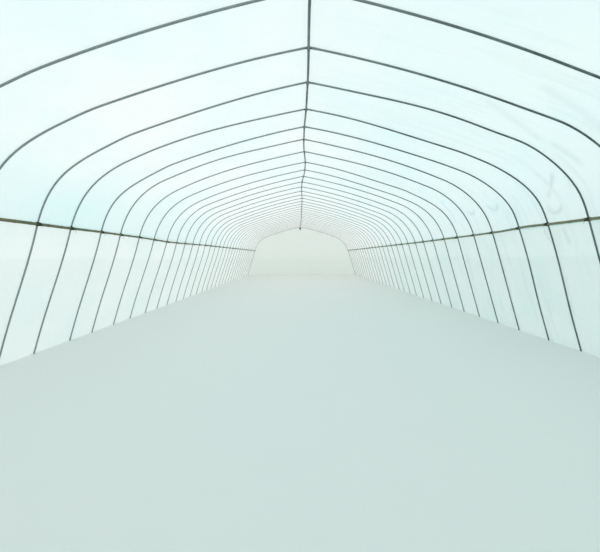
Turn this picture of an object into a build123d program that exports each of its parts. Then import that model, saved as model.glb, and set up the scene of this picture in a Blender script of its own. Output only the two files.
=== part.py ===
from build123d import *
import math
import os

# Polytunnel greenhouse. Pairs of bent steel tubes meet at the ridge to make hoops at even spacing. One
# ridge tube is clipped under their peaks, a bamboo rail is lashed inside the hoops along each side, and
# plastic film covers the roof, the sides and both ends. The near end has an open doorway.
# Millimetres. X runs across the tunnel, Y along it and Z up. The origin is on the ground at the centre.

# Hoops
bay_length = 800.0
bay_count = 37
half_span = 3270.0
ridge_height = 2900.0
ridge_pitch = 11.0
rafter_radius = 12000.0
eave_radius = 1260.0
leg_lean = 16.0
hoop_tube_radius = 9.5
rafter_runs = 2
eave_runs = 3
hoops_in_a_set = 4

# Ridge tube and its clips
ridge_tube_radius = 11.0
ridge_tube_pieces = 5
clip_thickness = 2.0
clip_width = 34.0
clip_arm = 9.0

# Bamboo rails and their lashings
rail_height = 1500.0
rail_butt_radius = 16.0
rail_tip_radius = 13.0
rail_culms = 6
lashing_thickness = 3.0
lashing_width = 14.0

# Film
film_thickness = 2.0
roof_strips = 2
eave_strips = 2

# Doorway and end posts, which are lengths of the hoops' tube
door_width = 900.0
door_height = 2000.0
stud_offset = 1750.0

# Tubes and culms are drawn with this many flat sides, turned so that a flat lies square to each axis
tube_sides = 8

# Distance left between a piece and its seat
seat_gap = 0.3

# Values worked out from the sizes above
half_side_angle = 180 / tube_sides
tunnel_length = bay_length * bay_count
hoop_stations = [bay_length * (i - bay_count / 2) for i in range(bay_count + 1)]
near_end = hoop_stations[0]
far_end = hoop_stations[-1]
inner_stations = hoop_stations[1:-1]
inside_length = tunnel_length + 2 * hoop_tube_radius
film_inside = hoop_tube_radius + seat_gap
film_outside = film_inside + film_thickness
cover_length = tunnel_length + 2 * film_outside
pitch = math.radians(ridge_pitch)
leg_angle = math.radians(90 - leg_lean)
leg_normal = Vector(math.sin(leg_angle), math.cos(leg_angle))


def on_arc(centre, radius, angle):
    """Point of an arc, with its angle measured from the vertical towards the side of the tunnel."""
    return centre + Vector(math.sin(angle), math.cos(angle)) * radius


# The long rafter bend runs into the tight eave bend, and that into the straight leg, without a corner
rafter_centre = on_arc(Vector(0, ridge_height), -rafter_radius, pitch)
turn_to_leg = math.acos(
    (half_span * leg_normal.X - eave_radius - rafter_centre.dot(leg_normal))
    / (rafter_radius - eave_radius)
)
eave_angle = leg_angle - turn_to_leg
eave_centre = on_arc(rafter_centre, rafter_radius - eave_radius, eave_angle)


def ridge_angle_at(outward):
    """Angle at which the rafter's bend, moved this far outwards, meets the middle of the tunnel."""
    return math.asin(-rafter_centre.X / (rafter_radius + outward))


def leg_at(outward):
    """Top and foot of the straight leg's line, moved this far outwards."""
    top = on_arc(eave_centre, eave_radius + outward, leg_angle)
    return top, Vector(top.X + top.Y / math.tan(leg_angle), 0)


def between(first, last, runs):
    """Evenly spaced values from the first to the last."""
    return [first + (last - first) * i / runs for i in range(runs + 1)]


# Half a hoop's axis: straight runs along both bends, then the leg down to the ground
rafter_points = [
    on_arc(rafter_centre, rafter_radius, angle)
    for angle in between(ridge_angle_at(0), eave_angle, rafter_runs)
]
eave_points = [
    on_arc(eave_centre, eave_radius, angle) for angle in between(eave_angle, leg_angle, eave_runs)
]
axis_points = rafter_points + eave_points[1:] + [leg_at(0)[1]]


def run_where(measure, value):
    """Point of the hoop's axis where a measure has this value, and the run's direction to the ground."""
    for upper, lower in zip(axis_points, axis_points[1:]):
        low, high = sorted((measure(upper), measure(lower)))
        if low <= value <= high:
            share = (value - measure(upper)) / (measure(lower) - measure(upper))
            return upper + (lower - upper) * share, (lower - upper).normalized()
    raise ValueError("the hoop has no such point")


def inwards(direction):
    """Direction square to a run, towards the inside of the tunnel."""
    return Vector(direction.Y, -direction.X)


def place(point):
    """A point of the tunnel's cross-section as a point in space."""
    return Vector(point.X, 0, point.Y)


os.makedirs("parts", exist_ok=True)

# Hoops: two bent tubes of eight sides that meet at the ridge, cut square there and level at the ground
ridge_run = (axis_points[1] - axis_points[0]).normalized()
leg_run = (axis_points[-1] - axis_points[-2]).normalized()
tube_start = axis_points[0] - ridge_run * hoop_tube_radius
tube_end = axis_points[-1] + leg_run * hoop_tube_radius

with BuildPart() as half_hoop:
    with BuildLine():
        Polyline(*[place(point) for point in [tube_start, *axis_points[1:-1], tube_end]])
    with BuildSketch(Plane(place(tube_start), x_dir=(0, 1, 0), z_dir=place(ridge_run))):
        RegularPolygon(hoop_tube_radius, tube_sides, major_radius=False, rotation=half_side_angle)
    sweep(transition=Transition.RIGHT)
    split(bisect_by=Plane.YZ.offset(seat_gap / 2), keep=Keep.TOP)
    split(bisect_by=Plane.XY, keep=Keep.TOP)

with BuildPart() as hoop:
    add(half_hoop.part)
    mirror(about=Plane.YZ)

with BuildPart() as near_end_hoop:
    with Locations((0, near_end, 0)):
        add(hoop.part)
near_end_hoop.part.label = "near_end_hoop"
export_step(near_end_hoop.part, "parts/near_end_hoop.step")

with BuildPart() as far_end_hoop:
    with Locations((0, far_end, 0)):
        add(hoop.part)
far_end_hoop.part.label = "far_end_hoop"
export_step(far_end_hoop.part, "parts/far_end_hoop.step")

for number, first in enumerate(range(0, len(inner_stations), hoops_in_a_set), 1):
    with BuildPart() as hoop_set:
        with Locations(*[(0, y, 0) for y in inner_stations[first : first + hoops_in_a_set]]):
            add(hoop.part)
    hoop_set.part.label = f"hoop_set_{number}"
    export_step(hoop_set.part, f"parts/hoop_set_{number}.step")

# Ridge tube, in lengths that meet end to end under the hoops' peaks
ridge_slope = math.atan2(-ridge_run.Y, ridge_run.X)
ridge_drop = (hoop_tube_radius + seat_gap + ridge_tube_radius) / math.cos(ridge_slope)
ridge_tube_height = ridge_height - ridge_drop
ridge_tube_length = inside_length / ridge_tube_pieces

with BuildPart() as tube_length:
    with BuildSketch(Plane.XZ):
        with Locations((0, ridge_tube_height)):
            RegularPolygon(ridge_tube_radius, tube_sides, major_radius=False, rotation=half_side_angle)
    extrude(amount=-(ridge_tube_length - seat_gap))

with BuildPart() as ridge_tube:
    with Locations(*[(0, ridge_tube_length * i - inside_length / 2, 0) for i in range(ridge_tube_pieces)]):
        add(tube_length.part)
ridge_tube.part.label = "ridge_tube"
export_step(ridge_tube.part, "parts/ridge_tube.step")

# Ridge clips: a strap bent round the ridge tube, with arms that rise each side of the hoop's tube
clip_inside = ridge_tube_radius + seat_gap
clip_outside = clip_inside + clip_thickness
clip_top = ridge_tube_height + ridge_tube_radius + clip_arm
notch_half_width = hoop_tube_radius / math.cos(math.radians(half_side_angle)) + seat_gap
underside_at_peak = ridge_height - (hoop_tube_radius + seat_gap) / math.cos(ridge_slope)
notch_bottom = underside_at_peak - clip_outside * math.tan(ridge_slope)

with BuildPart() as ridge_clip:
    with BuildSketch(Plane.XZ):
        with Locations((0, ridge_tube_height)):
            RegularPolygon(clip_outside, tube_sides, major_radius=False, rotation=half_side_angle)
            Rectangle(2 * clip_outside, clip_top - ridge_tube_height, align=(Align.CENTER, Align.MIN))
            RegularPolygon(
                clip_inside,
                tube_sides,
                major_radius=False,
                rotation=half_side_angle,
                mode=Mode.SUBTRACT,
            )
            Rectangle(
                2 * clip_inside, ridge_height, align=(Align.CENTER, Align.MIN), mode=Mode.SUBTRACT
            )
    extrude(amount=clip_width / 2, both=True)
    with BuildSketch(Plane.YZ):
        with Locations((0, notch_bottom)):
            Rectangle(2 * notch_half_width, ridge_height, align=(Align.CENTER, Align.MIN))
    extrude(amount=2 * clip_outside, both=True, mode=Mode.SUBTRACT)

with BuildPart() as ridge_clips:
    with Locations(*[(0, y, 0) for y in inner_stations]):
        add(ridge_clip.part)
ridge_clips.part.label = "ridge_clips"
export_step(ridge_clips.part, "parts/ridge_clips.step")

# Bamboo rails, each a row of culms that taper from butt to tip and meet at a hoop
rail_seat, rail_run = run_where(lambda point: point.Y, rail_height)
rail_inward = inwards(rail_run)
rail_centre = place(rail_seat + rail_inward * (hoop_tube_radius + seat_gap + rail_butt_radius))
rail_plane = Plane(rail_centre, x_dir=place(rail_inward), z_dir=(0, 1, 0))
culm_ends = [hoop_stations[round(bay_count * i / rail_culms)] for i in range(rail_culms + 1)]
culm_ends[0] = -inside_length / 2
culm_ends[-1] = inside_length / 2

with BuildPart() as right_rail:
    for butt, tip in zip(culm_ends, culm_ends[1:]):
        culm_length = tip - butt - seat_gap
        culm_taper = math.degrees(math.atan((rail_butt_radius - rail_tip_radius) / culm_length))
        with BuildSketch(rail_plane.offset(butt)):
            RegularPolygon(rail_butt_radius, tube_sides, major_radius=False, rotation=half_side_angle)
        extrude(amount=culm_length, taper=culm_taper)
right_rail.part.label = "right_rail"
export_step(right_rail.part, "parts/right_rail.step")

with BuildPart() as left_rail:
    add(right_rail.part)
    mirror(about=Plane.YZ, mode=Mode.REPLACE)
left_rail.part.label = "left_rail"
export_step(left_rail.part, "parts/left_rail.step")

# Lashings: a band round the inner side of the rail at each hoop, with both its ends on the hoop
band_plane = Plane(place(rail_seat), x_dir=place(rail_inward), z_dir=(0, -1, 0))
band_inside = rail_butt_radius + seat_gap
band_reach = 2 * rail_butt_radius + seat_gap

with BuildPart() as lashing:
    with BuildSketch(band_plane):
        with Locations((hoop_tube_radius + seat_gap, 0)):
            Rectangle(
                band_reach + lashing_thickness,
                2 * (band_inside + lashing_thickness),
                align=(Align.MIN, Align.CENTER),
            )
            Rectangle(band_reach, 2 * band_inside, align=(Align.MIN, Align.CENTER), mode=Mode.SUBTRACT)
    extrude(amount=lashing_width / 2, both=True)

with BuildPart() as right_rail_lashings:
    with Locations(*[(0, y, 0) for y in hoop_stations]):
        add(lashing.part)
right_rail_lashings.part.label = "right_rail_lashings"
export_step(right_rail_lashings.part, "parts/right_rail_lashings.step")

with BuildPart() as left_rail_lashings:
    add(right_rail_lashings.part)
    mirror(about=Plane.YZ, mode=Mode.REPLACE)
left_rail_lashings.part.label = "left_rail_lashings"
export_step(left_rail_lashings.part, "parts/left_rail_lashings.step")


def bent_strip(centre, radius, first, last):
    """Strip of film along the whole tunnel, bent over the hoops from one angle to another."""
    angles = (first, (first + last) / 2, last)
    with BuildPart() as strip:
        with BuildSketch(Plane.XZ.offset(-cover_length / 2)):
            with BuildLine():
                inner = ThreePointArc(*[on_arc(centre, radius + film_inside, angle) for angle in angles])
                outer = ThreePointArc(*[on_arc(centre, radius + film_outside, angle) for angle in angles])
                Line(inner @ 0, outer @ 0)
                Line(inner @ 1, outer @ 1)
            make_face()
        extrude(amount=cover_length)
        split(bisect_by=Plane.YZ, keep=Keep.TOP)
    return strip.part


def write_both_sides(strip, name):
    """Write a strip of the right side, and the same strip mirrored to the left side."""
    with BuildPart() as right:
        add(strip)
    right.part.label = f"{name}_right"
    export_step(right.part, f"parts/{name}_right.step")
    with BuildPart() as left:
        add(strip)
        mirror(about=Plane.YZ, mode=Mode.REPLACE)
    left.part.label = f"{name}_left"
    export_step(left.part, f"parts/{name}_left.step")


# Cover film: strips over the rafters, round the eaves and down the straight legs
roof_angles = between(ridge_angle_at(film_outside), eave_angle, roof_strips)
for number, (first, last) in enumerate(zip(roof_angles, roof_angles[1:]), 1):
    write_both_sides(bent_strip(rafter_centre, rafter_radius, first, last), f"roof_film_{number}")

eave_angles = between(eave_angle, leg_angle, eave_strips)
for number, (first, last) in enumerate(zip(eave_angles, eave_angles[1:]), 1):
    write_both_sides(bent_strip(eave_centre, eave_radius, first, last), f"eave_film_{number}")

with BuildPart() as side_strip:
    with BuildSketch(Plane.XZ.offset(-cover_length / 2)):
        Polygon(*leg_at(film_inside), *reversed(leg_at(film_outside)), align=None)
    extrude(amount=cover_length)
write_both_sides(side_strip.part, "side_film")

# Outline of the end film, which lies on the outer face of the end hoop and under the edge of the cover
with BuildSketch() as end_outline:
    with BuildLine():
        for centre, radius, first, last in (
            (rafter_centre, rafter_radius, ridge_angle_at(hoop_tube_radius), eave_angle),
            (eave_centre, eave_radius, eave_angle, leg_angle),
        ):
            angles = (first, (first + last) / 2, last)
            ThreePointArc(*[on_arc(centre, radius + hoop_tube_radius, angle) for angle in angles])
        end_leg, end_foot = leg_at(hoop_tube_radius)
        ridge = on_arc(rafter_centre, rafter_radius + hoop_tube_radius, ridge_angle_at(hoop_tube_radius))
        Polyline(end_leg, end_foot, (0, 0), ridge)
    make_face()
    mirror(about=Plane.YZ)

with BuildPart() as far_end_film:
    with BuildSketch(Plane.XZ.offset(-far_end - film_outside)):
        add(end_outline.sketch)
    extrude(amount=film_thickness)
far_end_film.part.label = "far_end_film"
export_step(far_end_film.part, "parts/far_end_film.step")

# Near end film, in sheets beside and over the doorway
near_end_plane = Plane.XZ.offset(-near_end + film_inside)

with BuildPart() as near_end_film_top:
    with BuildSketch(near_end_plane):
        add(end_outline.sketch)
        with Locations((0, door_height)):
            Rectangle(door_width, ridge_height, align=(Align.CENTER, Align.MIN), mode=Mode.INTERSECT)
    extrude(amount=film_thickness)
near_end_film_top.part.label = "near_end_film_top"
export_step(near_end_film_top.part, "parts/near_end_film_top.step")

with BuildPart() as near_end_film_right:
    with BuildSketch(near_end_plane):
        add(end_outline.sketch)
        with Locations((door_width / 2, 0)):
            Rectangle(2 * half_span, 2 * ridge_height, align=(Align.MIN, Align.MIN), mode=Mode.INTERSECT)
    extrude(amount=film_thickness)
near_end_film_right.part.label = "near_end_film_right"
export_step(near_end_film_right.part, "parts/near_end_film_right.step")

with BuildPart() as near_end_film_left:
    add(near_end_film_right.part)
    mirror(about=Plane.YZ, mode=Mode.REPLACE)
near_end_film_left.part.label = "near_end_film_left"
export_step(near_end_film_left.part, "parts/near_end_film_left.step")


def end_post(offset, station):
    """Upright tube of eight sides in the plane of an end hoop, from the ground to the hoop's underside."""
    seat, run = run_where(lambda point: point.X, offset)
    inward = inwards(run)
    under_hoop = Plane(place(seat + inward * (hoop_tube_radius + seat_gap)), z_dir=place(inward))
    with BuildPart() as post:
        with BuildSketch():
            with Locations((offset, 0)):
                RegularPolygon(hoop_tube_radius, tube_sides, major_radius=False, rotation=half_side_angle)
        extrude(amount=ridge_height)
        split(bisect_by=under_hoop, keep=Keep.TOP)
    return post.part.moved(Location((0, station, 0)))


with BuildPart() as door_posts:
    add(end_post(door_width / 2 + hoop_tube_radius, near_end))
    mirror(about=Plane.YZ)
door_posts.part.label = "door_posts"
export_step(door_posts.part, "parts/door_posts.step")

with BuildPart() as near_end_studs:
    add(end_post(stud_offset, near_end))
    mirror(about=Plane.YZ)
near_end_studs.part.label = "near_end_studs"
export_step(near_end_studs.part, "parts/near_end_studs.step")

# Door head, a tube between the door posts
with BuildPart() as door_head:
    with BuildSketch(Plane.YZ):
        with Locations((near_end, door_height + hoop_tube_radius)):
            RegularPolygon(hoop_tube_radius, tube_sides, major_radius=False, rotation=half_side_angle)
    extrude(amount=door_width / 2 - seat_gap, both=True)
door_head.part.label = "door_head"
export_step(door_head.part, "parts/door_head.step")
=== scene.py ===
import bpy
import math
import numpy as np
from mathutils import Euler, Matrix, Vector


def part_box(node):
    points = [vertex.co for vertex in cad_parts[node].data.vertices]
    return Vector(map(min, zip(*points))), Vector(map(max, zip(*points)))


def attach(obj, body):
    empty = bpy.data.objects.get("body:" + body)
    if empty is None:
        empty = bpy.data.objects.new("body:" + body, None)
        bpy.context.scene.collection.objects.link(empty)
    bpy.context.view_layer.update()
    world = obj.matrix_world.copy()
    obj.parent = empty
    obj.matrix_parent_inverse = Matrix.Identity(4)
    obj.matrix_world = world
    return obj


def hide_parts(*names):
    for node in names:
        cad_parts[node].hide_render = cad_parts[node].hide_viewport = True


# Polytunnel greenhouse in metres. X runs across the tunnel, Y along it from the doorway, Z up.

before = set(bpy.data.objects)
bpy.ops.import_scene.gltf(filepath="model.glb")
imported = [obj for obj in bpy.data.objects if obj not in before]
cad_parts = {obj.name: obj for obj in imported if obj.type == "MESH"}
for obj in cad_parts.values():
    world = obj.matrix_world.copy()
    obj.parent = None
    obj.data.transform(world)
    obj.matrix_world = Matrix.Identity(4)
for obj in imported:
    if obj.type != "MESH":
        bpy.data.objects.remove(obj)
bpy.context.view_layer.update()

# The hoop's line, the same at every station
HALF_SPAN = 3.27
RIDGE_HEIGHT = 2.9
RIDGE_PITCH = math.radians(11)
RAFTER_RADIUS = 12.0
EAVE_RADIUS = 1.26
LEG_ANGLE = math.radians(74)
TUBE_RADIUS = 0.0095
HALF_GAP = 0.0002

# Stations of the hoops, from the first and the last of them, and the sets of the CAD model
NEAR_END = sum(corner.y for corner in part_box("near_end_hoop")) / 2
FAR_END = sum(corner.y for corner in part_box("far_end_hoop")) / 2
BAY = 0.8
BAYS = round((FAR_END - NEAR_END) / BAY)
STATIONS = NEAR_END + BAY * np.arange(BAYS + 1)
HOOP_SETS = 9
HOOPS_IN_SET = 4

# Sides of the hoops' and posts' tubes, of the ridge tube and culms, and of twine and of its coils
TUBE_SIDES = 14
ROUND_SIDES = 16
TWINE_SIDES = 6
COIL_SIDES = 5

# Film lies a little outside the tubes, the cover over the top of the side sheets
SIDE_OFFSET = TUBE_RADIUS + 0.0014
COVER_OFFSET = TUBE_RADIUS + 0.0023
LAP_LOW = 1.488
LAP_HIGH = 1.512
GROUND_GAP = 0.002
END_INSET = 0.002
FILM_TRIM = 0.0005

# Rows and columns of the film's points: the cover's rows up to a distance from the ridge and after it,
# the side and end sheets' rows, and the columns of a bay, more of them in the bays that show from near
COVER_ROWS = 34
COVER_ROWS_MEET = 2.3
SIDE_ROWS = 40
END_ROWS = 44
NEAR_BAYS = 16
NEAR_BAY_COLUMNS = 20
FAR_BAY_COLUMNS = 8

# How far film sags between hoops, how that differs by bay and by height, and its light tension folds
SAG = 0.0095
SAG_BY_BAY = 0.0028
SAG_BY_HEIGHT = 0.0012
TENSION = 0.0011
END_RIPPLE = 0.0008

# Ridge tube and the collars of its lengths
RIDGE_TUBE_RADIUS = 0.011
RIDGE_TUBE_HEIGHT = sum(corner.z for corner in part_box("ridge_tube")) / 2
RIDGE_LENGTHS = 5
RIDGE_POINTS = 31
COLLAR_RADIUS = RIDGE_TUBE_RADIUS + 0.0012
COLLAR_LENGTH = 0.075
COLLAR_EDGE = 0.003

# Socket beside the ridge on each hoop's right half, and the ridge clips with their prongs and bails
SOCKET_RADIUS = TUBE_RADIUS + 0.0013
SOCKET_ENDS = (0.012, 0.080)
CLIP_WIDTH = 0.034
CLIP_THICKNESS = 0.002
CLIP_GAP = 0.0003
PRONG_GAP = 0.0005
PRONG_FOOT = 2.886
PRONG_TOP = 2.899
BAIL_RADIUS = 0.0009
BAIL_SWEEP = 1.9
BAIL_SPREAD = 0.001
BAIL_RISE = 0.002

# Rails, and how far they lie over or under their height, at distances along the tunnel
RAIL_SEAT_HEIGHT = 1.5
RAIL_REACH = 2.8
RAIL_GAP = 0.0012
RAIL_BUTT = 0.0160
RAIL_TIP = 0.0130
CULMS = 6
CULM_STEP = 0.045
CULM_START_GAP = 0.0005
CULM_END_GAP = 0.001
LEFT_RAIL_SAG = (
    (-14.8, 0.000), (-9.4, -0.004), (-8.6, -0.008), (-7.8, -0.006), (-6.9, -0.013),
    (-6.1, -0.018), (-4.4, -0.044), (-3.4, -0.043), (-1.0, -0.028), (14.8, -0.010),
)
RIGHT_RAIL_SAG = (
    (-14.8, 0.016), (-8.9, 0.018), (-7.9, 0.027), (-7.1, 0.001), (-6.2, -0.006),
    (-4.5, -0.010), (-2.5, -0.020), (14.8, -0.010),
)

# Nodes of the bamboo: the first one's distance from the butt, their spacing, the least distance of
# the last one from the tip, points across a node, and height and width of its ring and its swelling
FIRST_NODE = (0.06, 0.2)
NODE_SPACING = (0.24, 0.34)
LAST_NODE = 0.4
NODE_POINTS = (-0.010, -0.005, -0.002, 0.0, 0.002, 0.005, 0.010)
NODE_RING = (0.0020, 0.0032)
NODE_SWELLING = (0.0006, 0.03)

# Twine: its gap from the film, and how far it reaches outwards on the end hoops, which keeps it inside
# the end sheets. Coils have this pitch, in radii of the twine, and so many points in a turn
FILM_GAP = 0.0001
TWINE_REACH = TUBE_RADIUS - 0.0008
COIL_PITCH = 2.1
COIL_POINTS = 9

# Lashings: their twine and its gap from the culm, numbers of turns over the rail, along the hoop and
# along the rail, each below its second value, how far knots are shifted, and the length of their ends
LASHING_TWINE = 0.0013
LASHING_GAP = 0.0004
RAIL_TURNS = (3, 5)
HITCH_TURNS = (3, 6)
RAIL_HITCH_TURNS = (10, 13)
RAIL_HITCH_START = TUBE_RADIUS + 0.007
RAIL_HITCH_GAP = 0.0006
KNOT_SHIFT = 0.006
KNOT_ENDS = (0.02, 0.05)

# Bindings at both ends of the ridge tube: turns of each layer, and start and length from the end hoop
BINDING_TWINE = 0.0016
BINDING_TURNS = (17, 14)
BINDING_START = 0.016
BINDING_LENGTH = 0.055

# Large knot under the far end of the ridge tube: half its sizes, and its loops and rings
LARGE_KNOT_FROM_END = 0.085
LARGE_KNOT_TWINE = 0.0024
LARGE_KNOT_SIZE = np.array([0.050, 0.046, 0.066])
LARGE_KNOT_LOOPS = 72
LARGE_KNOT_RINGS = 6

# Doorway
DOOR_HALF_WIDTH = 0.45
DOOR_HEIGHT = 2.0
STUD_OFFSET = 1.75

# Sideways wander of the ridge, at distances along the tunnel
WANDER = (
    (-14.8, -0.020), (-10.8, -0.0205), (-9.4, -0.009), (-8.7, -0.011), (-7.4, -0.029),
    (-6.7, -0.028), (-5.0, 0.013), (-4.5, 0.011), (-2.5, -0.042), (-1.4, -0.046), (0.4, -0.026),
    (9.0, -0.031), (14.8, -0.085),
)

# The left side stands steeper under its eave and bows in by this much, up to this height, and fully
# only at the far end of this reach from the middle
LEFT_BOW = 0.048
LEFT_BOW_TOP = 2.35
LEFT_BOW_SKEW = 1.2
LEFT_BOW_REACH = (1.9, 2.8)

# How far some hoops stand along the tunnel from their station: at the ridge, and more at the left
# and right eave. The others are within a small distance of theirs
HOOP_SHIFTS = {
    5: (-0.081, 0.026, 0.126), 6: (-0.002, -0.044, 0.034), 7: (-0.001, 0.063, -0.027),
    8: (0.080, -0.105, -0.085), 9: (0.052, -0.002, -0.112), 10: (-0.050, 0.000, 0.050),
    11: (-0.005, 0.000, -0.010), 12: (0.090, -0.100, -0.060), 13: (0.090, -0.030, -0.030),
    14: (0.075, -0.020, -0.020),
}
SMALL_SHIFT = 0.012
FAR_SHIFT = 0.055
FAR_SHIFT_HOOPS = range(15, 25)
EAVE_REACH = 3.0

# How far some hoops are bent upwards: the left rafter and eave, then the right ones
LIFTS = {
    5: (0.001, -0.025, 0.003, 0.011), 6: (-0.009, -0.034, 0.001, 0.010),
    7: (-0.010, -0.040, 0.030, 0.020), 8: (0.020, -0.013, -0.026, -0.025),
    9: (-0.002, -0.043, -0.011, -0.006), 10: (0.029, 0.005, 0.010, 0.000),
    11: (0.016, -0.012, 0.013, 0.001), 12: (0.014, -0.006, -0.025, -0.042),
    13: (0.005, -0.009, -0.023, -0.019),
}
RAFTER_SPREAD = (0.3, 2.5)
EAVE_SPREAD = (1.75, 2.78)
LIFTED_HEIGHTS = (1.5, 1.7)

# How far some hoops bulge outwards between two heights, under the right eave and along the right leg
EAVE_BULGES = {6: 0.026, 7: 0.030, 8: 0.027, 9: 0.034, 10: 0.012, 11: 0.003}
EAVE_BULGE_HEIGHTS = (1.45, 2.25)
LEG_BULGES = {7: 0.003, 8: 0.024, 9: 0.026, 10: 0.004}
LEG_BULGE_HEIGHTS = (0.3, 2.2)
BULGE_REACH = (1.7, 2.2)

# Creases of the film on the right: distances from the ridge and along the tunnel of both ends,
# width, depth. Creases get painted shade, and a crease of the full depth gets the darkest painted shade of
# the folds
CREASES = (
    (2.74, -9.02, 2.86, -8.82, 0.022, 0.012), (2.88, -8.80, 2.96, -8.64, 0.030, 0.007),
    (2.45, -9.52, 2.68, -9.56, 0.050, 0.007), (2.80, -9.18, 2.92, -9.14, 0.030, 0.006),
    (3.36, -8.70, 3.52, -8.75, 0.026, 0.011), (3.36, -8.27, 3.60, -8.42, 0.025, 0.010),
    (1.62, -9.86, 2.30, -9.46, 0.060, 0.005), (1.86, -10.42, 2.55, -10.14, 0.060, 0.005),
    (2.55, -5.60, 3.00, -5.45, 0.030, 0.009),
)
FULL_CREASE = 0.012

# Slack pockets of the film on the right: distance from the ridge and along the tunnel, radius, depth,
# and the width of their edge, which gets painted shade
POCKETS = ((3.03, -8.66, 0.14, 0.014), (2.83, -7.20, 0.14, 0.013), (2.83, -6.38, 0.13, 0.012))
POCKET_EDGE = 0.022

# Light, and a floor just under the part
WORLD_COLOUR = (0.97, 0.99, 1)
WORLD_STRENGTH = 0.86
SUN_STRENGTH = 0.5
SUN_ANGLE = math.radians(25)
SUN_TURN = (math.radians(24), math.radians(-20), 0)
FLOOR_REACH = 400
FLOOR_DROP = 0.002

# The photograph's viewpoint, its focal length and width in pixels, and the camera's turns
CAMERA_PLACE = (-0.092, NEAR_END + 0.718, 1.15)
FOCAL_LENGTH = 477
PICTURE_WIDTH = 600
SENSOR_WIDTH = 36
CAMERA_TILT = math.radians(90 - 2.388)
CAMERA_PAN = math.radians(0.012)
CAMERA_ROLL = math.radians(-0.221)

random = np.random.default_rng(7)


def on_arc(centre, radius, angle):
    """Point of an arc in the cross-section, its angle measured from the vertical towards the side."""
    return np.array([centre[0] + radius * math.sin(angle), centre[1] + radius * math.cos(angle)])


RAFTER_CENTRE = on_arc((0, RIDGE_HEIGHT), -RAFTER_RADIUS, RIDGE_PITCH)
LEG_NORMAL = np.array([math.sin(LEG_ANGLE), math.cos(LEG_ANGLE)])
EAVE_ANGLE = LEG_ANGLE - math.acos(
    (HALF_SPAN * LEG_NORMAL[0] - EAVE_RADIUS - RAFTER_CENTRE @ LEG_NORMAL) / (RAFTER_RADIUS - EAVE_RADIUS)
)
EAVE_CENTRE = on_arc(RAFTER_CENTRE, RAFTER_RADIUS - EAVE_RADIUS, EAVE_ANGLE)
EAVE_LENGTH = EAVE_RADIUS * (LEG_ANGLE - EAVE_ANGLE)
RAFTER_LENGTH = RAFTER_RADIUS * (EAVE_ANGLE - RIDGE_PITCH)
LEG_TOP = on_arc(EAVE_CENTRE, EAVE_RADIUS, LEG_ANGLE)
LEG_LENGTH = LEG_TOP[1] / math.sin(LEG_ANGLE)
LEG_RUN = np.array([math.cos(LEG_ANGLE), -math.sin(LEG_ANGLE)])
HALF_LENGTH = RAFTER_LENGTH + EAVE_LENGTH + LEG_LENGTH


def hoop_point(along, outward=0.0):
    """Point and outward direction of the right half's line, a distance along it from the ridge."""
    if along < RAFTER_LENGTH:
        centre, radius, angle = RAFTER_CENTRE, RAFTER_RADIUS, RIDGE_PITCH + along / RAFTER_RADIUS
    elif along < RAFTER_LENGTH + EAVE_LENGTH:
        centre, radius = EAVE_CENTRE, EAVE_RADIUS
        angle = EAVE_ANGLE + (along - RAFTER_LENGTH) / EAVE_RADIUS
    else:
        down = along - RAFTER_LENGTH - EAVE_LENGTH
        return LEG_TOP + LEG_RUN * down + LEG_NORMAL * outward, LEG_NORMAL
    return on_arc(centre, radius + outward, angle), np.array([math.sin(angle), math.cos(angle)])


def hoop_line(start, end, count):
    """Points of the hoop's line between two distances along it from the ridge."""
    return [hoop_point(along)[0] for along in np.linspace(start, end, count)]


def last_along(high, holds):
    """The last distance from the ridge, up to high, at which a test holds that fails farther on."""
    low = 0.0
    for _ in range(40):
        middle = (low + high) / 2
        if holds(middle):
            low = middle
        else:
            high = middle
    return low


def along_at_height(height):
    """Distance from the ridge along the line at which the hoop has this height."""
    return last_along(HALF_LENGTH, lambda along: hoop_point(along)[0][1] > height)


def end_height(x, outward):
    """Height of the hoop's line, moved outwards, at a distance from the middle."""
    along = last_along(HALF_LENGTH + 0.1, lambda along: hoop_point(along, outward)[0][0] < abs(x))
    return max(0.0, float(hoop_point(along, outward)[0][1]))


def part_way(values, low, high):
    """How far values are on the way from low to high, from 0 to 1."""
    return np.clip((values - low) / (high - low), 0, 1)


def smooth(share):
    """Eases a share at both its ends."""
    return share * share * (3 - 2 * share)


def hump(share):
    """Rises smoothly from 0 to 1 at half the way, and falls back."""
    return np.sin(math.pi * share) ** 2


def eased(y, at, offset):
    """An offset given at some places along the tunnel, eased from one of them to the next."""
    i = np.clip(np.searchsorted(at, y) - 1, 0, len(at) - 2)
    return offset[i] + (offset[i + 1] - offset[i]) * smooth(part_way(y, at[i], at[i + 1]))


def lift(points):
    """How far the bends of rafters and eaves lift each point."""
    total = np.zeros(len(points))
    each_hoop = np.array([LIFTS.get(i, (0.0,) * 4) for i in range(BAYS + 1)])
    bends = ((-1, RAFTER_SPREAD), (-1, EAVE_SPREAD), (1, RAFTER_SPREAD), (1, EAVE_SPREAD))
    for column, (side, spread) in enumerate(bends):
        share = hump(part_way(side * points[:, 0], *spread))
        total += share * eased(points[:, 1], STATIONS, each_hoop[:, column])
    return total * part_way(points[:, 2], *LIFTED_HEIGHTS)


def bulge(points):
    """How far the right eaves and legs push each point outwards."""
    total = np.zeros(len(points))
    for bulges, heights in ((EAVE_BULGES, EAVE_BULGE_HEIGHTS), (LEG_BULGES, LEG_BULGE_HEIGHTS)):
        each_hoop = np.array([bulges.get(i, 0.0) for i in range(BAYS + 1)])
        total += hump(part_way(points[:, 2], *heights)) * eased(points[:, 1], STATIONS, each_hoop)
    return total * smooth(part_way(points[:, 0], *BULGE_REACH))


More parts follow.
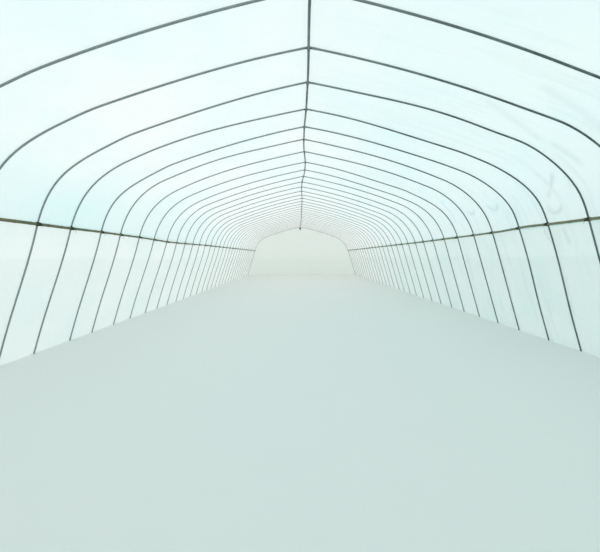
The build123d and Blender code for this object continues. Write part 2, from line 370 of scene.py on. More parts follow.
def settle(points):
    """Small unevenness of the whole tunnel, none of it at the ground, and nothing under the ground."""
    points = np.array(points, float)
    points[:, 2] = np.maximum(points[:, 2], 0)
    raised = lift(points)
    points[:, 0] += bulge(points)
    bowed = hump(part_way(points[:, 2], 0, LEFT_BOW_TOP) ** LEFT_BOW_SKEW)
    points[:, 0] += LEFT_BOW * bowed * smooth(part_way(-points[:, 0], *LEFT_BOW_REACH))
    at, offset = np.array(WANDER).T
    points[:, 0] += part_way(points[:, 2], 0, RIDGE_HEIGHT) ** 2 * eased(points[:, 1], at, offset)
    points[:, 2] += raised
    return points


SHIFTS = [
    np.array(HOOP_SHIFTS.get(i, random.uniform(-SMALL_SHIFT, SMALL_SHIFT, 3))) for i in range(BAYS + 1)
]
SHIFTS[0] = SHIFTS[-1] = np.zeros(3)
for i in FAR_SHIFT_HOOPS:
    SHIFTS[i][0] += FAR_SHIFT


def hoop_y(i, x):
    """Where hoop i stands along the tunnel, at a distance from the middle."""
    ridge_shift, left, right = SHIFTS[i]
    return STATIONS[i] + ridge_shift + (left if x < 0 else right) * abs(x) / EAVE_REACH


class Build:
    """Gathers vertices and faces, and makes one piece of them."""

    def __init__(self):
        self.vertices = []
        self.faces = []
        self.count = 0

    def add(self, vertices, faces):
        self.vertices.append(np.asarray(vertices, float))
        self.faces += [tuple(int(i) + self.count for i in face) for face in faces]
        self.count += len(vertices)

    def tube(self, path, radius, sides=TWINE_SIDES, closed=False):
        """A round tube along a path. Radius is one number or one for each point."""
        path = np.asarray(path, float)
        count = len(path)
        radii = np.broadcast_to(np.asarray(radius, float), (count,))
        if closed:
            tangent = np.roll(path, -1, 0) - np.roll(path, 1, 0)
        else:
            tangent = np.gradient(path, axis=0)
        tangent /= np.linalg.norm(tangent, axis=1)[:, None]
        guide = (0.0, 1.0, 0.0) if abs(tangent[0][1]) < 0.8 else (1.0, 0.0, 0.0)
        side = np.cross(tangent[0], guide)
        turn = np.arange(sides)[:, None] * 2 * math.pi / sides
        rings = []
        for point, direction, r in zip(path, tangent, radii):
            side = side - direction * (side @ direction)
            side /= np.linalg.norm(side)
            other = np.cross(direction, side)
            rings.append(point + r * (np.cos(turn) * side + np.sin(turn) * other))
        faces = []
        for i in range(count if closed else count - 1):
            a, b = i * sides, (i + 1) % count * sides
            for j in range(sides):
                k = (j + 1) % sides
                faces.append((a + j, a + k, b + k, b + j))
        if not closed:
            faces.append(tuple(range(sides))[::-1])
            faces.append(tuple((count - 1) * sides + j for j in range(sides)))
        self.add(np.concatenate(rings), faces)

    def grid(self, rows):
        """A sheet through rows of points."""
        columns = len(rows[0])
        faces = []
        for i in range(len(rows) - 1):
            for j in range(columns - 1):
                a = i * columns + j
                faces.append((a, a + 1, a + columns + 1, a + columns))
        self.add(np.concatenate(rows), faces)

    def strap(self, path, outward, low, high):
        """A flat strap along a path in the cross-section, between two distances along the tunnel."""
        corners = []
        for point, direction in zip(np.asarray(path, float), np.asarray(outward, float)):
            outer = point + direction * CLIP_THICKNESS
            corners += [(point[0], low, point[1]), (outer[0], low, outer[1])]
            corners += [(outer[0], high, outer[1]), (point[0], high, point[1])]
        faces = [(0, 1, 2, 3), tuple(len(corners) - 4 + j for j in (3, 2, 1, 0))]
        for a in range(0, len(corners) - 4, 4):
            for j in range(4):
                k = (j + 1) % 4
                faces.append((a + k, a + j, a + 4 + j, a + 4 + k))
        self.add(corners, faces)

    def piece(self, name, material, slot, *nodes, smooth=True, fold_shade=None):
        """Makes the object, gives it its material and body, and hides the nodes it stands for. Its slot is
        not used.
        """
        points = settle(np.concatenate(self.vertices))
        mesh = bpy.data.meshes.new(name)
        mesh.from_pydata(points.tolist(), [], self.faces)
        mesh.validate()
        # The mesh keeps painted shade for the film's creases and the edges of its slack pockets as a point
        # attribute.
        if fold_shade is not None:
            mesh.attributes.new("fold_shade", "FLOAT", "POINT").data.foreach_set("value", fold_shade)
        mesh.polygons.foreach_set("use_smooth", [smooth] * len(mesh.polygons))
        mesh.materials.append(material)
        obj = bpy.data.objects.new(name, mesh)
        bpy.context.scene.collection.objects.link(obj)
        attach(obj, "root")
        if nodes:
            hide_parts(*nodes)
        return obj


class Shading:
    """Puts together the nodes of a material or the world."""

    def __init__(self, owner):
        self.owner = owner
        owner.use_nodes = True
        self.tree = owner.node_tree
        self.tree.nodes.clear()

    def feed(self, socket, value):
        """Links an output to an input, or sets the input to a number, vector or colour."""
        if isinstance(value, bpy.types.NodeSocket):
            self.tree.links.new(value, socket)
        else:
            socket.default_value = (*value, 1) if socket.type == "RGBA" else value

    def node(self, kind, settings=None, **inputs):
        """A node with these settings, and with its inputs fed."""
        made = self.tree.nodes.new(kind)
        for key, value in (settings or {}).items():
            setattr(made, key, value)
        for key, value in inputs.items():
            self.feed(made.inputs[key.replace("_", " ")], value)
        return made

    def maths(self, operation, a, b, clamp=False):
        """An operation on two numbers."""
        made = self.node("ShaderNodeMath", {"operation": operation, "use_clamp": clamp})
        self.feed(made.inputs[0], a)
        self.feed(made.inputs[1], b)
        return made.outputs[0]

    def spread(self, value, low, high, least, most, easing="LINEAR"):
        """A number spread from one range over another, and kept within it."""
        return self.node(
            "ShaderNodeMapRange", {"interpolation_type": easing},
            Value=value, From_Min=low, From_Max=high, To_Min=least, To_Max=most,
        ).outputs["Result"]

    def object_place(self):
        """The object's own coordinates."""
        return self.node("ShaderNodeTexCoord").outputs["Object"]

    def easing(self, axis, low, high, least=0.0, most=1.0):
        """A number that eases from least to most between two places along an axis of the object."""
        split = self.node("ShaderNodeSeparateXYZ", Vector=self.object_place())
        return self.spread(split.outputs[axis], low, high, least, most, "SMOOTHSTEP")

    def noise(self, scale, stretch=(1, 1, 1), turn=(0, 0, 0), detail=4.0):
        """Noise on the object's own coordinates."""
        mapping = self.node("ShaderNodeMapping", Vector=self.object_place(), Rotation=turn, Scale=stretch)
        return self.node(
            "ShaderNodeTexNoise", Vector=mapping.outputs["Vector"], Scale=scale, Detail=detail, Roughness=0.6,
        ).outputs["Fac"]

    def ramp(self, value, *stops):
        """A number spread over a ramp of colours."""
        made = self.node("ShaderNodeValToRGB", Fac=value)
        elements = made.color_ramp.elements
        while len(elements) < len(stops):
            elements.new(0.5)
        for element, (position, colour) in zip(elements, stops):
            element.position = position
            element.color = (*colour, 1)
        return made.outputs["Color"]

    def mix(self, share, first, second, blend="MIX", clamp=True):
        """Two colours, with this share of the second one mixed in."""
        settings = {"data_type": "RGBA", "blend_type": blend, "clamp_factor": clamp}
        return self.node("ShaderNodeMix", settings, Factor=share, A=first, B=second).outputs["Result"]

    def bump(self, height, strength, distance):
        """A normal roughened by a height."""
        return self.node(
            "ShaderNodeBump", Strength=strength, Distance=distance, Height=height,
        ).outputs["Normal"]

    def join(self, share, first, second):
        """Two shaders, with this share of the second one mixed in."""
        made = self.node("ShaderNodeMixShader", Fac=share)
        self.feed(made.inputs[1], first.outputs[0])
        self.feed(made.inputs[2], second.outputs[0])
        return made

    def finish(self, shader, output="ShaderNodeOutputMaterial"):
        """Shows this shader, and gives back the material or world."""
        self.node(output, Surface=shader.outputs[0])
        return self.owner


def steel_material(name, far_painted_haze, left_painted_light):
    """Dull galvanised tube, weathered dark, with paler worn patches and a little rust.

    Painted haze pales it towards the tunnel's far end, and painted light on its left, by these shares."""
    steel = Shading(bpy.data.materials.new(name))
    patches = steel.ramp(
        steel.noise(5.0),
        (0.3, (0.066, 0.094, 0.088)), (0.5, (0.112, 0.150, 0.141)), (0.75, (0.20, 0.245, 0.235)),
    )
    speck = steel.noise(60.0)
    rust_share = steel.maths("MULTIPLY", steel.ramp(speck, (0.58, (0, 0, 0)), (0.7, (1, 1, 1))), 0.45)
    rusty = steel.mix(rust_share, patches, (0.11, 0.062, 0.035))
    # Painted haze towards the far end and painted light on the left pale the tubes towards a pale grey-green.
    far = steel.easing("Y", -10.5, 1.5, 0.0, far_painted_haze)
    left = steel.easing("X", -0.4, 1.7, left_painted_light, 0.0)
    painted_light_tone = steel.mix(steel.maths("ADD", far, left, clamp=True), rusty, (0.36, 0.405, 0.395))
    return steel.finish(steel.node(
        "ShaderNodeBsdfPrincipled", Base_Color=painted_light_tone, Metallic=0.45,
        Roughness=steel.spread(speck, 0.0, 1.0, 0.22, 0.50), Normal=steel.bump(speck, 0.25, 0.0006),
    ))


def bamboo_material():
    """Old bamboo, olive green to brown along its length and paler on the right, with fine fibres."""
    bamboo = Shading(bpy.data.materials.new("bamboo"))
    tone = bamboo.ramp(
        bamboo.noise(2.2, (1, 0.9, 1), detail=3.0),
        (0.3, (0.075, 0.100, 0.036)), (0.5, (0.115, 0.125, 0.046)), (0.72, (0.19, 0.135, 0.066)),
    )
    # The tone turns paler towards the right.
    paler_to_right = bamboo.mix(bamboo.easing("X", -1.0, 1.0, 0.0, 0.24), tone, (0.34, 0.37, 0.23))
    fibre = bamboo.noise(90.0, (1, 0.03, 1))
    fibres = bamboo.ramp(fibre, (0.25, (0.62, 0.62, 0.6)), (0.75, (1, 1, 1)))
    return bamboo.finish(bamboo.node(
        "ShaderNodeBsdfPrincipled", Base_Color=bamboo.mix(0.7, paler_to_right, fibres, "MULTIPLY"),
        Roughness=0.48, Normal=bamboo.bump(fibre, 0.3, 0.0005),
    ))


def twine_material():
    """Dark twine, with its twist across the strand."""
    twine = Shading(bpy.data.materials.new("twine"))
    twist = twine.noise(260.0)
    return twine.finish(twine.node(
        "ShaderNodeBsdfPrincipled",
        Base_Color=twine.ramp(twist, (0.3, (0.022, 0.026, 0.018)), (0.7, (0.075, 0.08, 0.055))),
        Roughness=0.85, Normal=twine.bump(twist, 0.6, 0.0008),
    ))


def film_material(name, light, deep, far, right, low, clear, haze_scale):
    """Thin translucent film: light comes through it evenly, and its faces have a faint gloss.

    Its tint drifts between light and deep in soft patches. Right is a painted shade tint, multiplied in on
    that side, and the same tint goes in by low times as much low down on the left. Far is a painted shade
    tint, mixed in down the tunnel. Smears cross the near right of the roof, and folds and the edges of slack
    pockets get painted shade. Clear is the share of light that goes straight through."""
    film = Shading(bpy.data.materials.new(name))
    tone = film.ramp(film.noise(haze_scale, (1, 0.55, 1), detail=5.0), (0.32, deep), (0.62, light))
    on_right = film.easing("X", -0.6, 1.6)
    low_left = film.maths(
        "MULTIPLY", film.easing("X", -1.6, 0.6, 1.0, 0.0), film.easing("Z", 1.7, 2.4, low, 0.0),
    )
    # Painted shade: the right tint multiplies the tone on the right; the same tint goes in by low times as
    # much low down on the left.
    cooled = film.mix(film.maths("MAXIMUM", on_right, low_left), tone, right, "MULTIPLY", clamp=False)
    # Painted shade down the tunnel: the far tint mixes in towards the far end.
    painted_light_tone = film.mix(film.easing("Y", -9.0, 14.0), cooled, far)

    smear = film.noise(1.6, (0.5, 5.0, 0.8), turn=(0, 0, math.radians(38)))
    near_right = film.maths("MULTIPLY", on_right, film.easing("Y", -8.0, 6.0, 1.0, 0.0))
    smears = film.maths("MULTIPLY", film.spread(smear, 0.52, 0.72, 0.0, 0.42), near_right)
    # Painted shade in the folds and at the pockets' edges, read from the mesh, darkens the colour by the same
    # tint as the smears.
    fold_shade = film.node("ShaderNodeAttribute", {"attribute_name": "fold_shade"}).outputs["Fac"]
    colour = film.mix(film.maths("MAXIMUM", smears, fold_shade), painted_light_tone, (0.80, 0.84, 0.84), "MULTIPLY")

    surface = film.node(
        "ShaderNodeBsdfPrincipled", Base_Color=colour, Roughness=0.32,
        Normal=film.bump(film.noise(45.0), 0.12, 0.002),
    )
    body = film.join(0.34, film.node("ShaderNodeBsdfTranslucent", Color=colour), surface)
    return film.finish(film.join(clear, body, film.node("ShaderNodeBsdfTransparent", Color=colour)))


STEEL = steel_material("weathered_steel", 0.0, 0.0)
# The hoops get the full painted haze at the far end and painted light on their left.
HOOP_STEEL = steel_material("haze_painted_steel", 1.0, 0.60)
BAMBOO = bamboo_material()
TWINE = twine_material()
# Each film's right and far tints are painted shade, on the right and down the tunnel.
COVER = film_material(
    "cover_film", light=(0.95, 0.998, 0.99), deep=(0.86, 0.99, 0.995), far=(0.955, 0.992, 0.972),
    right=(0.91, 1.0, 1.0), low=1.25, clear=0.25, haze_scale=0.9,
)
SIDES = film_material(
    "side_film", light=(0.92, 0.995, 0.98), deep=(0.85, 0.97, 0.955), far=(0.90, 0.965, 0.935),
    right=(0.90, 0.965, 0.96), low=0.0, clear=0.20, haze_scale=1.3,
)
ENDS = film_material(
    "end_film", light=(0.86, 0.945, 0.90), deep=(0.80, 0.92, 0.87), far=(0.84, 0.915, 0.865),
    right=(1.0, 1.0, 1.0), low=0.0, clear=0.15, haze_scale=1.1,
)


def hoops():
    """Each hoop is two bent tubes that meet at the ridge, with a socket on the right one."""
    sets = {"near_end_hoop": [0], "far_end_hoop": [BAYS]}
    for number in range(HOOP_SETS):
        first = 1 + number * HOOPS_IN_SET
        sets[f"hoop_set_{number + 1}"] = range(first, first + HOOPS_IN_SET)
    half = hoop_line(HALF_GAP, HALF_LENGTH, 64)
    socket = hoop_line(*SOCKET_ENDS, 4)
    names = []
    for node_name, members in sets.items():
        build = Build()
        for i in members:
            for side in (1, -1):
                path = [(side * x, hoop_y(i, side * x), z) for x, z in half]
                build.tube(path, TUBE_RADIUS, TUBE_SIDES)
            build.tube([(x, hoop_y(i, x), z) for x, z in socket], SOCKET_RADIUS, TUBE_SIDES)
        steel = STEEL if node_name.endswith("end_hoop") else HOOP_STEEL
        build.piece(f"{node_name}_tubes", steel, "tube_steel", node_name)
        names.append(f"{node_name}_tubes")
    return names


def ridge():
    """Ridge tube in lengths, each with the next one's narrowed end pushed into its collar."""
    build = Build()
    low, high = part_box("ridge_tube")
    ends = np.linspace(low.y, high.y, RIDGE_LENGTHS + 1)
    for start, end in zip(ends, ends[1:]):
        ys = np.linspace(start, end, RIDGE_POINTS)
        radii = RIDGE_TUBE_RADIUS
        if end < ends[-1]:
            edges = (COLLAR_LENGTH, COLLAR_LENGTH - COLLAR_EDGE, COLLAR_EDGE, 0)
            ys = np.concatenate([ys[:-1], end - np.array(edges)])
            in_collar = ys > end - COLLAR_LENGTH + COLLAR_EDGE / 2
            radii = np.where(in_collar, COLLAR_RADIUS, RIDGE_TUBE_RADIUS)
        build.tube([(0, y, RIDGE_TUBE_HEIGHT) for y in ys], radii, ROUND_SIDES)
    build.piece("ridge_tube_lengths", STEEL, "tube_steel", "ridge_tube")


def clips():
    """Straps bent round the ridge tube, with two prongs on each side of the hoop and wires over it."""
    inside = RIDGE_TUBE_RADIUS + CLIP_GAP
    half_width = CLIP_WIDTH / 2
    prong_start = SOCKET_RADIUS + PRONG_GAP
    bail_reach = SOCKET_RADIUS + BAIL_RADIUS
    turn = np.linspace(-math.pi / 2, math.pi / 2, 13)
    bend = [(inside * math.sin(a), RIDGE_TUBE_HEIGHT - inside * math.cos(a)) for a in turn]
    strap = [(-inside, PRONG_FOOT), *bend, (inside, PRONG_FOOT)]
    strap_out = [(-1, 0), *[(math.sin(a), -math.cos(a)) for a in turn], (1, 0)]
    build = Build()
    for i in range(1, BAYS):
        y = hoop_y(i, 0)
        build.strap(strap, strap_out, y - half_width, y + half_width)
        for side in (-1, 1):
            prong = [(side * inside, PRONG_FOOT), (side * inside, PRONG_TOP)]
            for low, high in ((-half_width, -prong_start), (prong_start, half_width)):
                build.strap(prong, [(side, 0)] * 2, y + low, y + high)
            x = side * (inside + CLIP_THICKNESS / 2)
            axis = RIDGE_HEIGHT - abs(x) * math.tan(RIDGE_PITCH)
            bail = [
                (x, y + bail_reach * math.sin(a), axis + bail_reach * math.cos(a))
                for a in np.linspace(-BAIL_SWEEP, BAIL_SWEEP, 11)
            ]
            first, last = [
                (x, y + way * (bail_reach + BAIL_SPREAD), PRONG_FOOT + BAIL_RISE) for way in (-1, 1)
            ]
            build.tube([first, *bail, last], BAIL_RADIUS)
    build.piece("ridge_clip_straps", STEEL, "clip_steel", "ridge_clips", smooth=False)


def rail_height(side, y):
    """Height of a rail, which rises and sags a little."""
    at, offset = np.array(LEFT_RAIL_SAG if side < 0 else RIGHT_RAIL_SAG).T
    return RAIL_SEAT_HEIGHT + float(np.interp(y, at, offset))


CULM_ENDS = [STATIONS[round(BAYS * i / CULMS)] for i in range(CULMS + 1)]


def culm_radius(y):
    """Radius of the culm that passes a point along the tunnel."""
    i = min(CULMS - 1, max(0, int(np.searchsorted(CULM_ENDS, y, side="right")) - 1))
    return RAIL_BUTT + (RAIL_TIP - RAIL_BUTT) * part_way(y, CULM_ENDS[i], CULM_ENDS[i + 1])


def rail_centre(side, y):
    """Middle of a rail at a distance along the tunnel, resting on the inside of the hoops."""
    seat, outward = hoop_point(along_at_height(rail_height(side, y)))
    centre = seat - outward * (TUBE_RADIUS + culm_radius(y) + RAIL_GAP)
    return np.array([side * centre[0], y, centre[1]])


def culm(build, side, start, end):
    """A culm with a ring and a slight swelling at each node, cut just short of the next one."""
    nodes = [start + random.uniform(*FIRST_NODE)]
    while nodes[-1] < end - LAST_NODE:
        nodes.append(nodes[-1] + random.uniform(*NODE_SPACING))
    rings = np.add.outer(NODE_POINTS, nodes).ravel()
    rings = rings[(rings > start) & (rings < end)]
    steps = np.arange(start + CULM_START_GAP, end - 0.03, CULM_STEP)
    path, radii = [], []
    for y in np.unique(np.concatenate([steps, rings, [end - CULM_END_GAP]])):
        gap = np.min(np.abs(np.array(nodes) - y))
        on_culm = min(y, end - 2 * CULM_END_GAP)
        raised = sum(height * math.exp(-((gap / width) ** 2)) for height, width in (NODE_RING, NODE_SWELLING))
        radii.append(culm_radius(on_culm) + raised)
        path.append(rail_centre(side, on_culm) * (1, 0, 1) + (0, y, 0))
    build.tube(path, radii, ROUND_SIDES)


def rails():
    """Bamboo culms end to end along each side."""
    for side, name in ((-1, "left_rail"), (1, "right_rail")):
        low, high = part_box(name)
        ends = [low.y, *CULM_ENDS[1:-1], high.y]
        build = Build()
        for start, end in zip(ends, ends[1:]):
            culm(build, side, start, end)
        build.piece(f"{name}_culms", BAMBOO, "bamboo", name)


def between_ends(points):
    """Points of twine, kept inside the end sheets."""
    points = np.array(points, float)
    points[:, 1] = np.clip(points[:, 1], NEAR_END - TWINE_REACH, FAR_END + TWINE_REACH)
    return points


def twine_turns(build, origin, inward, down, centre, radius, count, twine=0.0011):
    """Crossed turns of twine round a hoop's tube and a rail or tube that lies on its inner side.

    Centre is the rail's distance from the hoop's axis. Each turn goes over the rail on a slant, and back
    between the hoop and the film."""
    along = np.array([0.0, 1.0, 0.0])
    over = radius + twine
    beside = TUBE_RADIUS + 0.0009
    under_film = SIDE_OFFSET - twine - FILM_GAP
    upper_layer = 0.0012
    pitch = 2.2 * twine
    for slant in (-1, 1):
        raised = centre + (upper_layer if slant > 0 else 0)
        for number in range(count):
            offset = (number - (count - 1) / 2) * pitch
            path = []
            for a in np.linspace(-math.pi / 2, math.pi / 2, 9):
                y = slant * beside * (a / (math.pi / 2)) + offset
                path.append((y, raised + over * math.cos(a), over * math.sin(a)))
            for b in np.linspace(0, math.pi, 7):
                s = over * 0.8 * math.cos(b) + offset
                path.append((slant * beside * math.cos(b), -under_film * math.sin(b), s))
            points = [origin + along * y + inward * n + down * s for y, n, s in path]
            build.tube(between_ends(points), twine, closed=True)


def knot(build, origin, inward, length):
    """A small knot of twine with two loose ends that hang from it."""
    up = np.array([0, 0, 1.0])
    side = np.cross(inward, up)
    side /= np.linalg.norm(side)
    size, lobes, depth, twine = 0.0034, 0.0013, 0.0016, 0.0012
    loops = []
    for a in np.linspace(0, 2 * math.pi, 25)[:-1]:
        r = size + lobes * math.cos(3 * a)
        turned = side * r * math.cos(2 * a) + up * r * math.sin(2 * a)
        loops.append(origin + turned + inward * depth * math.sin(3 * a))
    build.tube(between_ends(loops), twine, closed=True)
    for way in (-1, 1):
        reach = length * random.uniform(0.7, 1.2)
        lean = random.uniform(0.1, 0.5) * way
        tail = [
            origin + inward * (0.002 + 0.006 * math.sin(2.4 * t)) + side * (way * 0.003 + lean * reach * t)
            - up * reach * (t * t * 0.6 + t * 0.35)
            for t in np.linspace(0, 1, 7)
        ]
        build.tube(between_ends(tail), 0.0011, COIL_SIDES)


def hitch(build, start, way, inward, turns, twine=0.0015):
    """Turns of twine round a hoop's tube, one beside the other along it, on from the start."""
    steps = np.linspace(0, turns, turns * COIL_POINTS + 1)[:, None]
    angle = 2 * math.pi * steps
    reach = TUBE_RADIUS + twine
    inner = np.cos(angle) * np.where(np.cos(angle) > 0, reach, SIDE_OFFSET - twine - FILM_GAP)
    coil = start + way * COIL_PITCH * twine * steps + inner * inward + reach * np.sin(angle) * (0, 1, 0)
    build.tube(between_ends(coil), twine, COIL_SIDES)


def rail_hitch(build, side, y, way, inward, down, turns, twine=0.0023):
    """Turns of twine round a rail, one beside the other, beside the hoop at y."""
    coil = []
    for step in np.linspace(0, turns, turns * COIL_POINTS + 1):
        at = y + way * (RAIL_HITCH_START + COIL_PITCH * twine * step)
        reach = culm_radius(at) + RAIL_HITCH_GAP + twine
        angle = 2 * math.pi * step
        coil.append(rail_centre(side, at) + reach * (math.cos(angle) * inward + math.sin(angle) * down))
    build.tube(coil, twine, COIL_SIDES)


def lashings():
    """Twine at each crossing of a rail and a hoop, ended in hitches on the hoop and on the rail."""
    for side, name in ((-1, "left_rail"), (1, "right_rail")):
        build = Build()
        for i in range(BAYS + 1):
            y = hoop_y(i, side * RAIL_REACH)
            seat, outward = hoop_point(along_at_height(rail_height(side, y)))
            inward = np.array([-side * outward[0], 0.0, -outward[1]])
            down = np.array([side * outward[1], 0.0, -outward[0]])
            origin = np.array([side * seat[0], y, seat[1]])
            radius = culm_radius(y) + LASHING_GAP
            centre = TUBE_RADIUS + culm_radius(y) + RAIL_GAP
            turns = int(random.integers(*RAIL_TURNS))
            twine_turns(build, origin, inward, down, centre, radius, turns, LASHING_TWINE)
            for way in (-1, 1):
                start = origin + way * 0.5 * radius * down
                hitch(build, start, way * down, inward, int(random.integers(*HITCH_TURNS)))
            turns = int(random.integers(*RAIL_HITCH_TURNS))
            rail_hitch(build, side, y, 1 if i == 0 else -1, inward, down, turns)
            tied = origin + inward * (centre + radius + 0.003)
            tied += down * random.uniform(-KNOT_SHIFT, KNOT_SHIFT)
            tied += (0, random.uniform(-KNOT_SHIFT, KNOT_SHIFT), 0)
            knot(build, tied, inward, random.uniform(*KNOT_ENDS))
        build.piece(f"{name}_twine", TWINE, "twine", f"{name}_lashings")


def ridge_ties():
    """Twine that ties both ends of the ridge tube to the end hoops, in a thick binding."""
    build = Build()
    inward, across = np.array([0.0, 0.0, -1.0]), np.array([1.0, 0.0, 0.0])
    for y, way in ((NEAR_END, 1), (FAR_END, -1)):
        origin = np.array([0.0, y, RIDGE_HEIGHT])
        centre = RIDGE_HEIGHT - RIDGE_TUBE_HEIGHT
        twine_turns(build, origin, inward, across, centre, RIDGE_TUBE_RADIUS, 3)
        for layer, turns in enumerate(BINDING_TURNS):
            reach = RIDGE_TUBE_RADIUS + BINDING_TWINE * (1 + 1.8 * layer)
            steps = np.linspace(0, 1, turns * 12)
            angle = 2 * math.pi * turns * steps
            ys = y + way * (BINDING_START + BINDING_LENGTH * steps)
            coil = [reach * np.sin(angle), ys, RIDGE_TUBE_HEIGHT - reach * np.cos(angle)]
            build.tube(np.stack(coil, 1), BINDING_TWINE)
        tied = np.array([0.0, y + way * 0.04, RIDGE_TUBE_HEIGHT - 0.019])
        knot(build, tied, inward + (0, -0.3 * way, 0), 0.06)
    large_knot(build, np.array([0.0, FAR_END - LARGE_KNOT_FROM_END, RIDGE_TUBE_HEIGHT]))
    build.piece("ridge_end_ties", TWINE, "twine")


def large_knot(build, tube_middle):
    """A knot of many turns, tied under the ridge tube."""
    over = RIDGE_TUBE_RADIUS + LARGE_KNOT_TWINE
    middle = tube_middle - (0, 0, over + 1.07 * LARGE_KNOT_SIZE[2])
    turn = np.linspace(0, 2 * math.pi, 33)[:-1, None]
    for deepness in np.linspace(0.6, 1.0, LARGE_KNOT_LOOPS):
        axis = random.normal(size=3)
        across = np.cross(axis, (0.3, 0.5, 0.8))
        across /= np.linalg.norm(across)
        other = np.cross(axis, across)
        other /= np.linalg.norm(other)
        loop = np.cos(turn) * across + np.sin(turn) * other
        loop = middle + LARGE_KNOT_SIZE * (deepness * loop + random.uniform(-0.07, 0.07, 3))
        build.tube(loop, LARGE_KNOT_TWINE, closed=True)
    for shift in np.linspace(-0.014, 0.014, LARGE_KNOT_RINGS):
        ring = np.hstack([over * np.sin(turn), turn * 0 + shift, 1.7 * over * np.cos(turn)])
        build.tube(tube_middle + ring - (0, 0, 0.7 * over), LARGE_KNOT_TWINE, closed=True)


def posts():
    """Round uprights and door head of the near end, of the hoops' tube."""
    under = TUBE_RADIUS + CLIP_GAP
    uprights = (("door_posts", DOOR_HALF_WIDTH + TUBE_RADIUS), ("near_end_studs", STUD_OFFSET))
    for node_name, offset in uprights:
        build = Build()
        for side in (-1, 1):
            heights = np.linspace(0, end_height(offset, -under) - 0.002, 12)
            build.tube([(side * offset, NEAR_END, z) for z in heights], TUBE_RADIUS, TUBE_SIDES)
        build.piece(f"{node_name}_tubes", STEEL, "tube_steel", node_name)
    build = Build()
    z = DOOR_HEIGHT + TUBE_RADIUS
    xs = np.linspace(-DOOR_HALF_WIDTH, DOOR_HALF_WIDTH, 9)
    build.tube([(x, NEAR_END, z) for x in xs], TUBE_RADIUS, TUBE_SIDES)
    build.piece("door_head_tube", STEEL, "tube_steel", "door_head")


def slack(along, x, ys):
    """How far film lies inwards of its line between the hoops, and the painted shade of its creases and
    pockets' edges there.
    """
    hoops_at = np.array([hoop_y(i, x) for i in range(BAYS + 1)])
    bay = np.clip(np.searchsorted(hoops_at, ys, side="right") - 1, 0, BAYS - 1)
    share = part_way(ys, hoops_at[bay], hoops_at[bay + 1])
    belly = 4 * share * (1 - share)
    side = np.sign(x)
    depth = SAG + SAG_BY_BAY * np.sin(bay * 2.4 + side) + SAG_BY_HEIGHT * math.sin(along * 2.1)
    tension = TENSION * np.sin(along * 23 + bay * 1.9 + 3 * np.sin(ys * 0.8 + side))
    inward = belly * (depth + tension)
    fold_shade = np.zeros_like(ys)
    if side > 0:
        free = np.minimum(1, 6 * belly)
        for a0, y0, a1, y1, width, deep in CREASES:
            line = np.array([a1 - a0, y1 - y0])
            at = np.clip(((along - a0) * line[0] + (ys - y0) * line[1]) / (line @ line), 0, 1)
            distance = np.hypot(along - a0 - at * line[0], ys - y0 - at * line[1])
            mark = np.exp(-((distance / width) ** 2)) * free
            inward = inward + deep * mark
            fold_shade = np.maximum(fold_shade, mark * deep / FULL_CREASE)
        for a0, y0, radius, deep in POCKETS:
            distance = np.hypot(along - a0, (ys - y0) * 0.8)
            low = np.clip(1.6 * (along - a0) / radius - 0.2, 0, 1)
            mark = np.exp(-(((distance - radius) / POCKET_EDGE) ** 2)) * low * free
            inward = inward + deep * mark
            fold_shade = np.maximum(fold_shade, mark)
    return inward, fold_shade


def film_rows(distances, ys, side, outward):
    """Rows of points of film over one side, at distances from the ridge, and the painted shade of their
    folds.
    """
    rows, fold_shades = [], []
    for along in distances:
        point, direction = hoop_point(along, outward)
        inward, fold_shade = slack(along, side * max(point[0], 1e-6), ys)
        x = side * (point[0] - direction[0] * inward)
        rows.append(np.stack([x, ys, point[1] - direction[1] * inward], 1))
        fold_shades.append(fold_shade)
    return rows, fold_shades


def film_stations(low, high):
    """Distances along the tunnel of a sheet's columns."""
    columns = [low, NEAR_END]
    for i in range(BAYS):
        count = NEAR_BAY_COLUMNS if i < NEAR_BAYS else FAR_BAY_COLUMNS
        columns += list(np.linspace(STATIONS[i], STATIONS[i + 1], count + 1)[1:])
    return np.array(columns + [high])


def covers():
    """One cover sheet over both sides, and a sheet down each side from under its edge to the ground."""
    low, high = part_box("roof_film_1_right")
    ys = film_stations(low.y + FILM_TRIM, high.y - FILM_TRIM)
    lap_end = along_at_height(LAP_LOW)
    first = math.asin(-RAFTER_CENTRE[0] / (RAFTER_RADIUS + COVER_OFFSET))
    start = (first - RIDGE_PITCH) * RAFTER_RADIUS
    upper = np.linspace(start, COVER_ROWS_MEET, COVER_ROWS)
    distances = np.concatenate([upper[:-1], np.linspace(COVER_ROWS_MEET, lap_end, COVER_ROWS)])
    left, left_fold_shades = film_rows(distances[::-1], ys, -1, COVER_OFFSET)
    right, right_fold_shades = film_rows(distances[1:], ys, 1, COVER_OFFSET)
    fold_shades = np.concatenate(left_fold_shades + right_fold_shades)
    build = Build()
    build.grid(left + right)
    parts = ("roof_film_1", "roof_film_2", "eave_film_1", "eave_film_2")
    names = [f"{part}_{side}" for part in parts for side in ("left", "right")]
    piece = build.piece("cover_sheet", COVER, "film", *names, fold_shade=fold_shades)

    top = along_at_height(LAP_HIGH)
    foot = HALF_LENGTH - GROUND_GAP / math.sin(LEG_ANGLE)
    for side, name in ((-1, "left"), (1, "right")):
        rows, fold_shades = film_rows(np.linspace(top, foot, SIDE_ROWS), ys, side, SIDE_OFFSET)
        fold_shades = np.concatenate(fold_shades)
        build = Build()
        build.grid(rows)
        piece = build.piece(f"{name}_side_sheet", SIDES, "film", f"side_film_{name}", fold_shade=fold_shades)


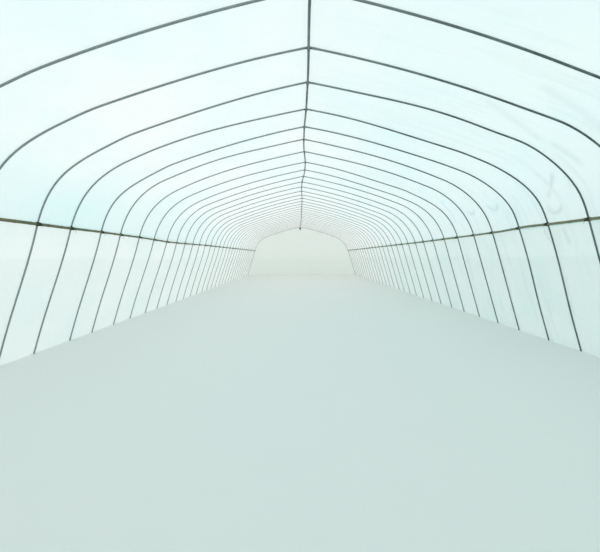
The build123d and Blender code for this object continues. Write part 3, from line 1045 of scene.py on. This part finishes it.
def end_sheet(name, columns, floor, y, node_name):
    """A sheet across an end, from a floor height up to the hoop's outer edge, lightly rippled."""
    across, lean, up, _ = random.uniform(0, 6, 4)
    tops = [end_height(x, TUBE_RADIUS) for x in columns]
    rows = []
    for share in np.linspace(0, 1, END_ROWS):
        held = min(1, 8 * share * (1 - share))
        row = []
        for x, top in zip(columns, tops):
            z = floor + (top - floor) * share
            ripple = math.sin(x * 9 + across + 1.4 * math.sin(z * 2.2 + lean)) * math.sin(z * 1.7 + up)
            row.append((x, y + math.copysign(END_RIPPLE, y) * ripple * held, z))
        rows.append(row)
    build = Build()
    build.grid(rows)
    piece = build.piece(name, ENDS, "film", node_name)


def ends():
    """Film over both ends, split beside and over the doorway at the near one."""
    foot = hoop_point(HALF_LENGTH, TUBE_RADIUS)[0][0] - END_INSET
    near, far = NEAR_END - SIDE_OFFSET, FAR_END + SIDE_OFFSET
    door = DOOR_HALF_WIDTH
    end_sheet("near_end_sheet_right", np.linspace(door, foot, 60), 0.0, near, "near_end_film_right")
    end_sheet("near_end_sheet_left", np.linspace(-foot, -door, 60), 0.0, near, "near_end_film_left")
    end_sheet("near_end_sheet_top", np.linspace(-door, door, 31), DOOR_HEIGHT, near, "near_end_film_top")
    end_sheet("far_end_sheet", np.linspace(-foot, foot, 121), 0.0, far, "far_end_film")


def stage():
    """Plain pale floor, white surroundings and soft light."""
    mesh = bpy.data.meshes.new("floor")
    corners = [(FLOOR_REACH * x, FLOOR_REACH * y, 0) for x, y in ((-1, -1), (1, -1), (1, 1), (-1, 1))]
    mesh.from_pydata(corners, [], [(0, 1, 2, 3)])
    floor = bpy.data.objects.new("floor", mesh)
    floor.location.z = -FLOOR_DROP
    bpy.context.scene.collection.objects.link(floor)
    pale = Shading(bpy.data.materials.new("pale_floor"))
    shader = pale.node("ShaderNodeBsdfPrincipled", Base_Color=(0.78, 0.80, 0.78), Roughness=0.9)
    mesh.materials.append(pale.finish(shader))

    white = Shading(bpy.data.worlds.new("white_surroundings"))
    seen = white.node("ShaderNodeBackground", Color=(1, 1, 1))
    lit = white.node("ShaderNodeBackground", Color=WORLD_COLOUR, Strength=WORLD_STRENGTH)
    rays = white.node("ShaderNodeLightPath")
    shown = rays.outputs["Is Camera Ray"]
    for kind in ("Is Glossy Ray", "Is Transmission Ray"):
        shown = white.maths("MAXIMUM", shown, rays.outputs[kind])
    bpy.context.scene.world = white.finish(white.join(shown, lit, seen), "ShaderNodeOutputWorld")

    sun = bpy.data.lights.new("soft_sun", "SUN")
    sun.energy = SUN_STRENGTH
    sun.angle = SUN_ANGLE
    holder = bpy.data.objects.new("soft_sun", sun)
    holder.rotation_euler = Euler(SUN_TURN)
    bpy.context.scene.collection.objects.link(holder)


def camera():
    """The photograph's viewpoint: inside, just past the doorway, looking along the tunnel."""
    data = bpy.data.cameras.new("camera")
    data.sensor_width = SENSOR_WIDTH
    data.lens = FOCAL_LENGTH / PICTURE_WIDTH * SENSOR_WIDTH
    data.clip_start = 0.02
    data.clip_end = 1000
    obj = bpy.data.objects.new("camera", data)
    obj.location = CAMERA_PLACE
    look = Euler((CAMERA_TILT, 0, CAMERA_PAN), "XYZ").to_matrix()
    roll = Euler((0, 0, CAMERA_ROLL), "XYZ").to_matrix()
    obj.rotation_euler = (look @ roll).to_euler("XYZ")
    bpy.context.scene.collection.objects.link(obj)
    bpy.context.scene.camera = obj


HOOP_PIECES = hoops()
ridge()
clips()
rails()
lashings()
ridge_ties()
posts()
covers()
ends()
stage()
camera()
bpy.context.scene.view_settings.view_transform = "Standard"
